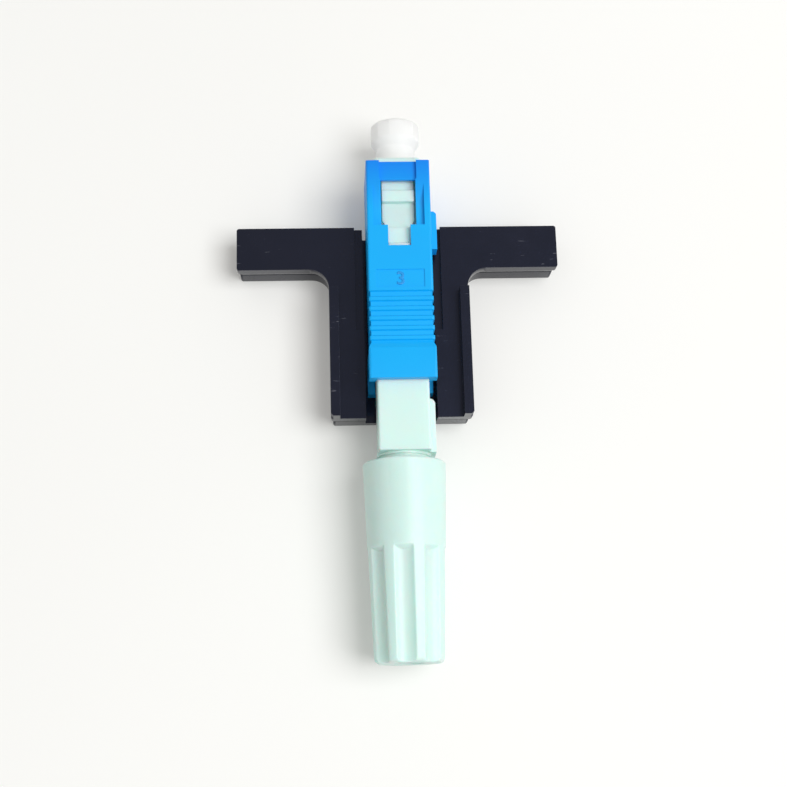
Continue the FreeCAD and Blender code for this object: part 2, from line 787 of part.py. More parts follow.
def make_splice_cover(name, start, end):
    """One of the two lids that press the fibres into the vee."""
    body = new_body(name)
    section = cross_section(body, f"{name}_section", start, [[
        ("cover_face", "notch_tall + notch_taper - splice_tall / 2"),
        ("notch_half", "notch_tall - splice_tall / 2"),
        ("notch_half", "-splice_tall / 2"),
        ("cover_face + cover_thick", "-splice_tall / 2"),
        ("cover_face + cover_thick", "splice_tall / 2"),
        ("cover_face", "splice_tall / 2"),
    ]])
    extrude(body, "Pad", f"{name}_bar", section, f"({end}) - ({start})")
    return body


def make_splice_clip(name, step):
    """A C-shaped leaf spring that squeezes the base and one lid together."""
    body = new_body(name)
    left = "-base_face - base_thick"
    right = "cover_face + cover_thick"
    section = cross_section(body, f"{name}_section", f"clip_at + {step} * clip_pitch", [[
        (left, "clip_lift - splice_tall / 2"),
        (left, "splice_tall / 2"),
        (right, "splice_tall / 2"),
        (right, "clip_lift - splice_tall / 2"),
        (f"{right} + clip_thick", "clip_lift - splice_tall / 2"),
        (f"{right} + clip_thick", "splice_tall / 2 + clip_thick"),
        (f"{left} - clip_thick", "splice_tall / 2 + clip_thick"),
        (f"{left} - clip_thick", "clip_lift - splice_tall / 2"),
    ]])
    extrude(body, "Pad", f"{name}_strip", section, "clip_long")
    return body


def make_ferrule_spring():
    """The coil spring that pushes the ferrule and splice forward."""
    start = "(splice_end + seat_gap + spring_wire / 2)"
    radius = SIZES["spring_out_r"] - SIZES["spring_wire"] / 2
    room = SIZES["splice_room_end"] - SIZES["splice_end"]
    rise = room - 2 * SIZES["seat_gap"] - SIZES["spring_wire"]
    steps = round(SIZES["spring_turns"] * SIZES["spring_steps"])
    points = []
    for i in range(steps + 1):
        turn = 2 * math.pi * i / SIZES["spring_steps"]
        up = rise * i / steps
        points.append(FreeCAD.Vector(radius * math.cos(turn), radius * math.sin(turn), up))
    coil = doc.addObject("Part::Feature", "spring_coil")
    coil.Shape = Part.makePolygon(points)
    wire = doc.addObject("Part::RegularPolygon", "spring_wire_section")
    wire.Polygon = 6
    wire.setExpression("Circumradius", bound("spring_wire / 2"))
    wire.setExpression("Placement.Base.x", bound("spring_out_r - spring_wire / 2"))
    wire.Placement.Rotation = FreeCAD.Rotation(FreeCAD.Vector(1, 0, 0), 90)
    spring = doc.addObject("Part::Sweep", "ferrule_spring")
    spring.Label = "ferrule_spring"
    spring.Sections = [wire]
    spring.Spine = coil
    spring.Solid = True
    spring.Transition = "Right corner"
    spring.Placement.Rotation = FreeCAD.Rotation(FreeCAD.Vector(1, 0, 0), 90)
    spring.setExpression("Placement.Base.y", bound(f"{FRONT_Y} - {start}"))
    spring.setExpression("Placement.Base.z", bound(AXIS_UP))
    return spring


def make_fibre_guide():
    """The funnel that leads the stripped fibre into the splice."""
    body = new_body("fibre_guide")
    spin(body, "Revolution", "guide_turned", [
        ("guide_nose_at", "guide_bore_r"),
        ("guide_nose_at", "guide_nose_r"),
        (GUIDE_AT, "guide_nose_r"),
        (GUIDE_AT, "guide_r"),
        ("guide_end", "guide_r"),
        ("guide_end", "guide_mouth_r"),
        (GUIDE_AT, "guide_bore_r"),
    ])
    return body


# ---------------------------------------------------------------- collet, nut and cap


def make_clamp_collet():
    """The split ring that grips the cable, keyed in the tail's slits and pushed by the nut."""
    body = new_body("clamp_collet")
    start = "(neck_end + seat_gap)"
    spin(body, "Revolution", "collet_turned", [
        (start, "collet_bore_r"),
        (start, "neck_tip_r - collet_key_low"),
        (f"{start} + collet_nose", "collet_r"),
        (f"{start} + collet_long", "collet_tip_r"),
        (f"{start} + collet_long", "collet_bore_r"),
    ])
    key = plan(body, "collet_key_plan", "0", [[
        ("slide_gap - finger_slit / 2", "neck_end - collet_key_long"),
        ("finger_slit / 2 - slide_gap", "neck_end - collet_key_long"),
        ("finger_slit / 2 - slide_gap", f"{start} + collet_nose"),
        ("slide_gap - finger_slit / 2", f"{start} + collet_nose"),
    ]])
    extrude(body, "Pad", "collet_keys", key, "2 * (neck_tip_r - collet_key_low)", symmetric=True)
    spin(body, "Groove", "collet_bore", [
        ("neck_end - collet_key_long - cut_over", "0"),
        ("neck_end - collet_key_long - cut_over", "collet_bore_r"),
        (f"{start} + collet_long + cut_over", "collet_bore_r"),
        (f"{start} + collet_long + cut_over", "0"),
    ])
    slit = plan(body, "collet_slit_plan", "0", [[
        ("0", f"{start} - root_sink"),
        ("collet_r + cut_over", f"{start} - root_sink"),
        ("collet_r + cut_over", f"{start} + collet_long + cut_over"),
        ("0", f"{start} + collet_long + cut_over"),
    ]])
    extrude(body, "Pocket", "collet_split", slit, "collet_slit", symmetric=True)
    return body


NUT_SLOPE = "((nut_front_r - nut_rear_r) / nut_long)"
COLLET_END = "(neck_end + seat_gap + collet_long)"
# how far in from a corner the middle of its rounding lies, as a share of the radius
SOFT = "0.293"


def nut_radius(back):
    """The nut's outer radius at a distance back."""
    return f"(nut_front_r - {NUT_SLOPE} * (({back}) - {NUT_AT}))"


def make_tail_nut():
    """The tapered tail nut: eight flutes that stop at the smooth front skirt."""
    body = new_body("tail_nut")
    body.Placement.Rotation = FreeCAD.Rotation(FreeCAD.Vector(0, 1, 0), -SIZES["flute_turn"])
    seat = f"({COLLET_END} + seat_gap)"
    rim = f"({NUT_AT} + nut_front_edge)"
    spin(body, "Revolution", "nut_turned", [
        (NUT_AT, "nut_thread_r"),
        (NUT_AT, "nut_front_r - nut_front_edge"),
        (rim, nut_radius(rim)),
        (f"{NUT_END} - nut_rear_edge", nut_radius(f"{NUT_END} - nut_rear_edge")),
        (f"{NUT_END} - nut_rear_edge * {SOFT}", f"nut_rear_r - nut_rear_edge * {SOFT}"),
        (NUT_END, "nut_rear_r - nut_rear_edge"),
        (NUT_END, "nut_hole_r"),
        (f"{NUT_END} - nut_hole_long", "nut_hole_r"),
        (seat, "collet_tip_r + slot_gap"),
        (f"{seat} - collet_long", "nut_thread_r"),
    ])
    start = "(flute_at - cut_over)"
    end = f"({NUT_END} + cut_over)"
    lift = "flute_r - flute_deep"
    flute = spin(body, "Groove", "flute", [
        (start, f"{nut_radius(start)} + {lift}"),
        (end, f"{nut_radius(end)} + {lift}"),
        (end, f"{nut_radius(end)} - flute_deep"),
        (start, f"{nut_radius(start)} - flute_deep"),
    ], axis="Edge1")
    polar(body, "flutes", flute, "flute_count")
    foot = "(flute_at + flute_shoulder)"
    middle = "((nut_thread_r + nut_rear_r) / 2)"
    spin(body, "Revolution", "front_skirt", [
        (rim, middle),
        (rim, nut_radius(rim)),
        ("flute_at", nut_radius("flute_at")),
        (foot, f"{nut_radius(foot)} - flute_deep - seat_gap"),
        (foot, middle),
    ])
    return body


def make_dust_cap():
    """The push-on cap: a many-sided barrel head on a tube that covers the ferrule."""
    body = new_body("dust_cap")
    tube_end = "(shoulder_at - ferrule_travel - 2 * seat_gap)"
    spin(body, "Revolution", "cap_turned", [
        ("-cap_out", "0"),
        ("-cap_out", "cap_face_r"),
        ("-cap_out + cap_nose", "cap_r"),
        ("-cap_wide_end", "cap_r"),
        ("-cap_neck_at", "cap_neck_r"),
        ("cap_neck_end", "cap_neck_r"),
        ("cap_neck_end", "cap_tube_r"),
        (tube_end, "cap_tube_r"),
        (tube_end, "ferrule_r + slide_gap"),
        ("-ferrule_out - cap_tip_gap", "ferrule_r + slide_gap"),
        ("-ferrule_out - cap_tip_gap", "0"),
    ])
    flat = plan(body, "cap_flat_plan", "cap_r - cap_flat_deep", [[
        ("-cap_r", "-cap_out - cut_over"),
        ("cap_r", "-cap_out - cut_over"),
        ("cap_r", "-cap_neck_at"),
        ("-cap_r", "-cap_neck_at"),
    ]])
    flat_cut = extrude(body, "Pocket", "cap_flat", flat, "cap_r", reverse=True)
    polar(body, "cap_flats_round", flat_cut, "cap_flats")
    return body


# ---------------------------------------------------------------- opening tool


def tool_outline(inset):
    """The T-shaped outline of the tool, drawn in by an inset."""
    return [
        (f"{inset} - wing_half", f"wing_at + {inset}"),
        (f"wing_half - {inset}", f"wing_at + {inset}"),
        (f"wing_half - {inset}", f"wing_end - {inset}"),
        (f"leg_half - {inset}", f"wing_end - {inset}"),
        (f"leg_half - {inset}", f"leg_end - {inset}"),
        (f"{inset} - leg_half", f"leg_end - {inset}"),
        (f"{inset} - leg_half", f"wing_end - {inset}"),
        (f"{inset} - wing_half", f"wing_end - {inset}"),
    ]


def make_wedge_tool():
    """The black opening tool: a channel between two legs, two wings and two wedge blades."""
    body = new_body("wedge_tool", up="0")
    foot = plan(body, "foot_plan", "0", [tool_outline("step_inset")])
    extrude(body, "Pad", "foot", foot, "step_top")
    plate = plan(body, "plate_plan", "step_top", [tool_outline("0")])
    extrude(body, "Pad", "plate", plate, "plate_top - step_top")
    half = SIZES["leg_half"] + BESIDE
    dress(body, "Fillet", "wing_roots", "wing_fillet", lambda edge: (
        is_straight(edge, "z")
        and abs(edge.CenterOfMass.x) < half
        and edge.CenterOfMass.y > -SIZES["wing_end"] - BESIDE))
    dress(body, "Fillet", "outer_corners", "corner_round", lambda edge: (
        is_straight(edge, "z")
        and (abs(edge.CenterOfMass.x) > half + SIZES["wing_fillet"]
             or edge.CenterOfMass.y < -SIZES["leg_end"] + SIZES["step_inset"] + BESIDE)))
    rib = plan(body, "rib_plan", "plate_top - root_sink", [[
        ("leg_half - rib_wide", "rib_at"),
        ("leg_half", "rib_at"),
        ("leg_half", "leg_end - corner_round"),
        ("leg_half - corner_round", "leg_end"),
        ("leg_half - rib_wide", "leg_end"),
    ]])
    rib_pad = extrude(body, "Pad", "rib", rib, "rib_top - plate_top + root_sink")
    mirror(body, "ribs", [rib_pad], "YZ_Plane")
    channel = cross_section(body, "channel_section", "wing_at - cut_over", [
        box_corners("channel_half", "tool_floor", "rib_top + cut_over"),
    ])
    extrude(body, "Pocket", "channel", channel, "leg_end - wing_at + 2 * cut_over", reverse=True)
    ledge = cross_section(body, "ledge_section", "wing_at - cut_over", [
        box_corners("ledge_half", "plate_top - ledge_low", "rib_top + cut_over"),
    ])
    extrude(body, "Pocket", "ledge", ledge, "ledge_end - wing_at + cut_over", reverse=True)
    tip_up = f"({AXIS_UP} - blade_tip_low)"
    blade = [
        ("-blade_root_half", "tool_floor - root_sink"),
        ("blade_root_half", "tool_floor - root_sink"),
        ("blade_root_half", f"{tip_up} - blade_root_low"),
        ("blade_half", f"{tip_up} - blade_nose_low"),
        ("blade_nose_half", tip_up),
        ("-blade_nose_half", tip_up),
        ("-blade_half", f"{tip_up} - blade_nose_low"),
        ("-blade_root_half", f"{tip_up} - blade_root_low"),
    ]
    for step in (0, 1):
        name = f"blade_{step + 1}"
        section = cross_section(body, f"{name}_section", f"blade_at + {step} * blade_pitch",
                                [blade])
        extrude(body, "Pad", name, section, "blade_long")
    return body


# ---------------------------------------------------------------- build, check and write

sub_parts = [
    make_wedge_tool(),
    make_grip_shell(),
    make_plug_frame(),
    make_rear_body(),
    make_ferrule(),
    make_ferrule_flange(),
    make_fibre_stub(),
    make_splice_base(),
    make_splice_cover("splice_cover_front", "cover_at", "cover_split"),
    make_splice_cover("splice_cover_rear", "cover_split + cover_split_gap", "splice_end"),
    make_splice_clip("splice_clip_front", 0),
    make_splice_clip("splice_clip_rear", 1),
    make_ferrule_spring(),
    make_fibre_guide(),
    make_clamp_collet(),
    make_tail_nut(),
    make_dust_cap(),
]
doc.recompute()

for item in doc.Objects:
    if {"Invalid", "Error"} & set(item.State):
        raise RuntimeError(f"{item.Label} did not build: {item.State}")
    if item.TypeId in ("PartDesign::Pocket", "PartDesign::Groove"):
        if item.BaseFeature.Shape.Volume - item.Shape.Volume < 1e-6:
            raise RuntimeError(f"{item.Label} cuts nothing")

os.makedirs("parts", exist_ok=True)
for item in sub_parts:
    shape = item.Shape
    if shape.isNull() or not shape.isValid() or len(shape.Solids) != 1:
        raise RuntimeError(f"{item.Label} is not one valid solid ({len(shape.Solids)})")
    shape.exportStep(f"parts/{item.Label}.step")
    box = shape.BoundBox
    print(f"{item.Label:20s} {shape.Volume:9.3f} mm3  x {box.XMin:7.2f} {box.XMax:7.2f}"
          f"  y {box.YMin:7.2f} {box.YMax:7.2f}  z {box.ZMin:6.2f} {box.ZMax:6.2f}")
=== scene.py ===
# %% [markdown]
# # An SC fibre connector in its opening tool
#
# The object is a plug for a fibre-optic cable that is fitted by hand. It lies in a black
# moulded tool whose blades hold its splice open. The solids of every piece, at their real
# size, are already packed. This notebook gives them their finish: it softens the moulded
# edges, adds the thread and the small forms that a mould leaves behind, and mixes the
# plastics.

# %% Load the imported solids
import json
import math

import bmesh
import bpy
from mathutils import Matrix, Vector


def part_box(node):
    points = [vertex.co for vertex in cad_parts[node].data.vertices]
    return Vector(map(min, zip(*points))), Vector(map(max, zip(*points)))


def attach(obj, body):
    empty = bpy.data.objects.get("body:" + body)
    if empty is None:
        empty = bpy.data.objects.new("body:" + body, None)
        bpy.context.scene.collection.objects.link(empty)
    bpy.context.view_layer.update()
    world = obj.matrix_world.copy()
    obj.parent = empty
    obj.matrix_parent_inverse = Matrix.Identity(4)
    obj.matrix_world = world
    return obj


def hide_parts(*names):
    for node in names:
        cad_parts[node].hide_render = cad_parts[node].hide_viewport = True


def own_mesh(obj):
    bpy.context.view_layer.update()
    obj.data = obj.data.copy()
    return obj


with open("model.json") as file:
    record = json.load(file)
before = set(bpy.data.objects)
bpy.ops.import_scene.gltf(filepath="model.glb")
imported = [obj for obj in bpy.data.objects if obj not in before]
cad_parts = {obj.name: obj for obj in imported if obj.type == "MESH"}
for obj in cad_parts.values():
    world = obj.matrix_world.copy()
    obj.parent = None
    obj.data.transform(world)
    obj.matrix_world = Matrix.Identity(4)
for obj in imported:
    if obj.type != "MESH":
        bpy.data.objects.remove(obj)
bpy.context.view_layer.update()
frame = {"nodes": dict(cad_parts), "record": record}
MM = 0.001

# %% [markdown]
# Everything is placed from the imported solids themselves. Two boxes are enough. The blue shell
# gives the fibre's axis and the front face that lengths are counted from, and the tool gives
# the level of the bench.

# %% Measure the pieces
shell_low, shell_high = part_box("grip_shell")
tool_low, tool_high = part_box("wedge_tool")
axis_z = (shell_low.z + shell_high.z) / 2
front_y = shell_high.y


def back(distance):
    """The y of a place that many millimetres behind the shell's front face."""
    return front_y - distance * MM


print("axis height %.2f mm, front face at %.2f mm" % (axis_z / MM, front_y / MM))
print("the tool is %.1f mm across" % ((tool_high.x - tool_low.x) / MM))

# %% [markdown]
# ## The floor, the light and the camera
#
# Every look below is a small tree of nodes. A few short helpers make a node with its values,
# join two nodes and start a material, so that each tree reads as a list of what it does.

# %% Helpers for node trees


def set_inputs(node, values):
    """Give some of a node's sockets plain values."""
    for name, value in values.items():
        node.inputs[name].default_value = value


def add(tree, kind, inputs=None, **settings):
    """A new node with some of its settings and plain values."""
    node = tree.nodes.new(kind)
    for name, value in settings.items():
        setattr(node, name, value)
    set_inputs(node, inputs or {})
    return node


def link(tree, source, output, target, socket):
    """Join an output of one node to an input of another."""
    tree.links.new(source.outputs[output], target.inputs[socket])


def shader_of(material):
    """A material's shader."""
    return material.node_tree.nodes["Principled BSDF"]


def start_material(name):
    """A new material, with its node tree and its shader."""
    material = bpy.data.materials.new(name)
    material.use_nodes = True
    return material, material.node_tree, shader_of(material)


def add_noise(tree, source, output, scale, detail, **more):
    """A noise spread over the coordinates that a node gives."""
    noise = add(tree, "ShaderNodeTexNoise", {"Scale": scale, "Detail": detail, **more})
    link(tree, source, output, noise, "Vector")
    return noise


def combine(tree, operation, first, second):
    """A sum, a product or the greater of two outputs, each given as its node and its name."""
    node = add(tree, "ShaderNodeMath", operation=operation)
    link(tree, *first, node, 0)
    link(tree, *second, node, 1)
    return node


def map_range(tree, source, output, low, high, start=0.0, end=1.0):
    """An output that runs from start to end, carried over to run from low to high."""
    node = add(tree, "ShaderNodeMapRange", {"From Min": start, "From Max": end,
                                            "To Min": low, "To Max": high})
    link(tree, source, output, node, "Value")
    return node


print("node helpers ready")

# %% [markdown]
# The camera looks almost straight down, so a flat floor is all that shows. A sheet of one even
# grey would look cut out with scissors, so its colour drifts a little with a very large, soft
# noise. A little of its white is a glow that only the camera sees, straight or in gloss and
# glass. It keeps the shadows of a bright room pale with no more light on the object.

# %% The floor
FLOOR_HALF = 0.6
FLOOR_LIFT = 0.16
PAPER_DARK = (0.74, 0.735, 0.715, 1)
PAPER_LIGHT = (0.78, 0.78, 0.765, 1)
PAPER_SCALE = 9.0
WARM_WHITE = (1.0, 1.0, 0.985, 1)


def seen_directly(tree):
    """A node that is 1 for what the camera sees, straight or in gloss or glass, and else 0."""
    path = add(tree, "ShaderNodeLightPath")
    either = combine(tree, "MAXIMUM", (path, "Is Camera Ray"), (path, "Is Glossy Ray"))
    return combine(tree, "MAXIMUM", (either, "Value"), (path, "Is Transmission Ray"))


def bench_paper():
    """A matt white paper with a slow drift of colour and a little glow."""
    paper, tree, shader = start_material("bench_paper")
    place = add(tree, "ShaderNodeTexCoord")
    drift = add_noise(tree, place, "Object", PAPER_SCALE, 2.0)
    tint = add(tree, "ShaderNodeValToRGB")
    tint.color_ramp.elements[0].color = PAPER_DARK
    tint.color_ramp.elements[1].color = PAPER_LIGHT
    link(tree, drift, "Fac", tint, "Fac")
    link(tree, tint, "Color", shader, "Base Color")
    glow = map_range(tree, seen_directly(tree), "Value", 0.0, FLOOR_LIFT)
    link(tree, glow, "Result", shader, "Emission Strength")
    set_inputs(shader, {"Roughness": 0.75, "Emission Color": WARM_WHITE})
    return paper


def to_mesh(shape, name):
    """A finished shape as a mesh."""
    mesh = bpy.data.meshes.new(name)
    shape.to_mesh(mesh)
    shape.free()
    return mesh


def put_in_scene(name, data):
    """A new object that holds a mesh, a lamp, a camera or a text."""
    item = bpy.data.objects.new(name, data)
    bpy.context.scene.collection.objects.link(item)
    return item


def make_floor():
    """A large pale sheet at the bench level, which only receives the shadow."""
    shape = bmesh.new()
    bmesh.ops.create_grid(shape, x_segments=2, y_segments=2, size=FLOOR_HALF)
    floor = put_in_scene("bench_sheet", to_mesh(shape, "bench_sheet"))
    floor.location.z = tool_low.z
    floor.data.materials.append(bench_paper())
    return floor


make_floor()
print("floor laid at z = %.2f mm" % (tool_low.z / MM))

# %% [markdown]
# The light comes from a broad window on the right of a white room. A large area lamp makes
# the soft shadow on the left of each piece, and the world fills in the rest evenly. What the
# camera sees of that world, straight or mirrored, is a near-white wall.

# %% The window and the room
WINDOW_PLACE = Vector((0.33, -0.08, 0.66))
WINDOW_SIZE = 0.46
WINDOW_POWER = 4.2
WINDOW_COLOR = (0.985, 0.995, 1.0)
ROOM_COLOR = (1.0, 0.985, 0.955, 1)
ROOM_LIGHT = 0.46
ROOM_SEEN = 0.93


def make_window():
    """A square area lamp aimed at the middle of the object."""
    lamp = bpy.data.lights.new("window_right", "AREA")
    lamp.size = WINDOW_SIZE
    lamp.energy = WINDOW_POWER
    lamp.color = WINDOW_COLOR
    holder = put_in_scene("window_right", lamp)
    holder.location = WINDOW_PLACE
    aim = Vector((0, 0, axis_z)) - WINDOW_PLACE
    holder.rotation_euler = aim.to_track_quat("-Z", "Y").to_euler()
    return holder


def white_room():
    """Even light from all round, which the camera itself sees as a near-white wall."""
    world = bpy.data.worlds.new("white_room")
    world.use_nodes = True
    tree = world.node_tree
    wall = tree.nodes["Background"]
    set_inputs(wall, {"Color": ROOM_COLOR})
    level = map_range(tree, seen_directly(tree), "Value", ROOM_LIGHT, ROOM_SEEN)
    link(tree, level, "Result", wall, "Strength")
    return world


make_window()
bpy.context.scene.world = white_room()
bpy.context.scene.view_settings.view_transform = "Standard"
print("lamps:", [item.name for item in bpy.data.lights])

# %% [markdown]
# The camera stands above the tail end and looks forward over the connector, tipped about
# fourteen degrees from straight down. It is also turned a degree about its own line of
# sight, because the object isn't laid quite square to the view.

# %% The camera
CAMERA_PLACE = Vector((-8.3, -40.9, 161.4)) * MM
CAMERA_SIGHT = Vector((0.0455, 0.2464, -0.9681))
CAMERA_UP = Vector((0.0159, 0.9688, 0.2473))
CAMERA_LENS = 64.12
CAMERA_SENSOR = 36.0
CAMERA_NEAR = 0.01


def make_camera():
    """A camera from its place, its line of sight and the direction that is up in its view."""
    camera = bpy.data.cameras.new("bench_camera")
    camera.lens = CAMERA_LENS
    camera.sensor_width = CAMERA_SENSOR
    camera.clip_start = CAMERA_NEAR
    sight = CAMERA_SIGHT.normalized()
    right = sight.cross(CAMERA_UP).normalized()
    up = right.cross(sight)
    turn = Matrix((right, up, -sight)).transposed().to_4x4()
    holder = put_in_scene("bench_camera", camera)
    holder.matrix_world = Matrix.Translation(CAMERA_PLACE) @ turn
    bpy.context.scene.camera = holder
    return holder


make_camera()
print("camera %.0f mm above the bench" % (CAMERA_PLACE.z / MM))

# %% [markdown]
# ## Softening a moulded edge
#
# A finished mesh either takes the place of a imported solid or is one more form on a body. Both
# ways it rides on a body of the part, so that it moves with the joints. Its shading is smooth
# up to the edges that are really sharp, and large faces keep the say in it.

# %% Putting a finished mesh in the scene
SMOOTH_UP_TO = math.radians(35)
visible = {}


def show(mesh, name, node=None, body=None):
    """Put a finished mesh in the scene, in a solid's place or as one more form on a body."""
    mesh.shade_smooth()
    mesh.set_sharp_from_angle(angle=SMOOTH_UP_TO)
    piece = put_in_scene(name + "_moulded" if node else name, mesh)
    even = piece.modifiers.new("even_shading", "WEIGHTED_NORMAL")
    even.keep_sharp = True
    if node:
        owner = [key for key, members in frame["record"]["behaviour"]["bodies"].items()
                 if node in members][0]
        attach(piece, owner)
        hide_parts(node)
    else:
        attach(piece, body)
    visible[name] = piece
    return piece


# %% [markdown]
# No moulded edge is a true knife edge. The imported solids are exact, so each visible one is
# copied, its loose triangles are merged back into whole faces, and every sharp edge gets a
# narrow bevel of two segments. Highlights then run along the edges, as they do on the real
# plastic. A bevel in the shader would look alike from afar, but it would not be there in
# the mesh.
#
# The corners of the new narrow faces are marked in an attribute of the mesh, so that a
# material can tell a rounded edge from a broad face.

# %% A soft-edged copy of a solid
MERGE_WITHIN = 0.0005 * MM
FLAT_WITHIN = math.radians(0.4)
SHARP = math.radians(28)
EDGE_MARK = "rounded_edge"


def packed_shape(node):
    """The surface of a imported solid, with the corners that its faces share merged."""
    shape = bmesh.new()
    shape.from_mesh(frame["nodes"][node].data)
    bmesh.ops.remove_doubles(shape, verts=shape.verts, dist=MERGE_WITHIN)
    return shape


def round_sharp_edges(shape, width):
    """Bevel every sharp edge to that width in millimetres, and mark the new faces."""
    mark = shape.loops.layers.float.new(EDGE_MARK)
    sharp = [item for item in shape.edges
             if item.is_manifold and item.calc_face_angle() > SHARP]
    made = bmesh.ops.bevel(shape, geom=sharp, offset=width * MM, offset_type="OFFSET",
                           segments=2, profile=0.5, affect="EDGES", clamp_overlap=True,
                           material=-1, miter_outer="ARC")
    for face in made["faces"]:
        for corner in face.loops:
            corner[mark] = 1.0


def soft_copy(node, edge, reshape=None, detail=None):
    """A copy of a solid with rounded edges, reshaped before them or detailed after them."""
    shape = packed_shape(node)
    if reshape:
        reshape(shape)
    bmesh.ops.dissolve_limit(shape, angle_limit=FLAT_WITHIN, verts=shape.verts,
                             edges=shape.edges, use_dissolve_boundaries=False)
    round_sharp_edges(shape, edge)
    if detail:
        detail(shape)
    return show(to_mesh(shape, node + "_moulded"), node, node)


print("edges are rounded from %.0f degrees up" % math.degrees(SHARP))

# %% [markdown]
# Two solids get more than soft edges. The tail is packed as a plain cylinder that reaches
# almost to the crest of its thread. The ridge itself is made further on, so here that length
# is only drawn in to the thread's root.

# %% Drawing the neck in
THREAD_START = 34.9
THREAD_END = 43.3
NECK_R = 3.10
ROOT_R = 2.88
NECK_MARGIN = 0.2
RADIUS_WITHIN = 0.02


def thin_the_neck(shape):
    """Bring the threaded length of the tail down to the root of its thread."""
    middle = Vector((0, 0, axis_z))
    rear, front = back(THREAD_END + NECK_MARGIN), back(THREAD_START - NECK_MARGIN)
    ring = [vert for vert in shape.verts if rear < vert.co.y < front
            and abs(math.hypot(vert.co.x, vert.co.z - axis_z) / MM - NECK_R) < RADIUS_WITHIN]
    share = ROOT_R / NECK_R
    bmesh.ops.scale(shape, vec=(share, 1.0, share), verts=ring,
                    space=Matrix.Translation(-middle))
    print("neck corners drawn in:", len(ring))


print("the neck loses %.2f mm of its radius" % (NECK_R - ROOT_R))

# %% [markdown]
# The two halves of the tool's mould meet part of the way up its outer walls, which leaves a
# fine line round it. Three level cuts are made there, and the middle one is pushed in to make
# a vee. The walls of the channel between the legs are left alone.

# %% Cutting the parting groove
PARTING_UP = 2.35
PARTING_HALF = 0.12
PARTING_DEEP = 0.16
CHANNEL_SIDE = 5.3
REAR_BAND = 0.4
LEVEL_WITHIN = 0.0001


def parting_groove(shape):
    """A fine vee round the tool's outer walls, where the halves of its mould met."""
    level = tool_low.z + PARTING_UP * MM
    for rise in (-PARTING_HALF, 0.0, PARTING_HALF):
        bmesh.ops.bisect_plane(shape, geom=[*shape.verts, *shape.edges, *shape.faces],
                               plane_co=(0, 0, level + rise * MM), plane_no=(0, 0, 1))
    shape.normal_update()
    moved = 0
    for vert in shape.verts:
        beside = abs(vert.co.x) > CHANNEL_SIDE * MM
        behind = vert.co.y < tool_low.y + REAR_BAND * MM
        if abs(vert.co.z - level) < LEVEL_WITHIN * MM and (beside or behind):
            outward = Vector((vert.normal.x if beside else 0.0, vert.normal.y, 0.0))
            vert.co -= outward.normalized() * PARTING_DEEP * MM
            moved += 1
    print("parting groove:", moved, "corners drawn in")


print("parting line %.2f mm up the tool" % PARTING_UP)

# %% [markdown]
# Six pieces show from outside. Each has its own width of edge, in millimetres: the crisp
# shell and frame have the narrowest, and the nut that fingers turn has the widest.

# %% Make the soft copies
SOFT_PIECES = (
    ("grip_shell", 0.07, None, None),
    ("plug_frame", 0.06, None, None),
    ("rear_body", 0.09, thin_the_neck, None),
    ("tail_nut", 0.16, None, None),
    ("dust_cap", 0.12, None, None),
    ("wedge_tool", 0.14, None, parting_groove),
)

for node, edge, reshape, detail in SOFT_PIECES:
    piece = soft_copy(node, edge, reshape, detail)
    print("%-12s %6d faces" % (node, len(piece.data.polygons)))

# %% [markdown]
# The coil behind the splice is round wire, so it needs no bevel. It shortens when the ferrule
# is pushed back, but here its copy is only merged and given a mesh of its own.


def live_coil():
    """A merged copy of the coil, with a mesh of its own."""
    mesh = to_mesh(packed_shape("ferrule_spring"), "ferrule_spring_coil")
    coil = show(mesh, "ferrule_spring", "ferrule_spring")
    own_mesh(coil)
    return coil


live_coil()

# %% [markdown]
# ## The thread on the tail
#
# The nut runs on a thread whose ridge climbs round the tail once in every 1.25 mm. The tail is
# slit in four behind its solid part, so the ridge is cut there too. A profile is spun round
# the fibre's axis and carried back a little at every step, which is all that a screw is: one
# unbroken run on the solid part, and four short runs a turn between the slits.

# %% The ridge, in runs between the slits
PITCH = 1.25
CREST_R = 3.13
RIDGE_SINK = 0.05
RIDGE_FOOT_HALF = 0.40
RIDGE_TOP_HALF = 0.14
RUN_IN = 0.4
RUN_OUT = 0.3
SLIT_START = 37.9
SLIT_COUNT = 4
SLIT_HALF = 0.62
SLIT_HALF_ANGLE = math.asin(SLIT_HALF / ROOT_R)
STEP_ANGLE = math.radians(7.5)


def ridge_run(shape, start_angle, sweep, start_back):
    """One run of the ridge: a low trapezoid spun about the axis and carried backwards."""
    foot = ROOT_R - RIDGE_SINK
    corners = []
    for radius, along in ((foot, -RIDGE_FOOT_HALF), (CREST_R, -RIDGE_TOP_HALF),
                          (CREST_R, RIDGE_TOP_HALF), (foot, RIDGE_FOOT_HALF)):
        corners.append(shape.verts.new((
            radius * MM * math.sin(start_angle),
            back(start_back + along),
            axis_z + radius * MM * math.cos(start_angle),
        )))
    profile = shape.faces.new(corners)
    steps = max(2, math.ceil(sweep / STEP_ANGLE))
    climb = -PITCH * MM * sweep / math.tau / steps
    bmesh.ops.spin(shape, geom=[profile, *profile.edges, *profile.verts],
                   cent=(0, 0, axis_z), axis=(0, 1, 0), dvec=(0, climb, 0),
                   angle=sweep, steps=steps, use_merge=False, use_duplicate=False)


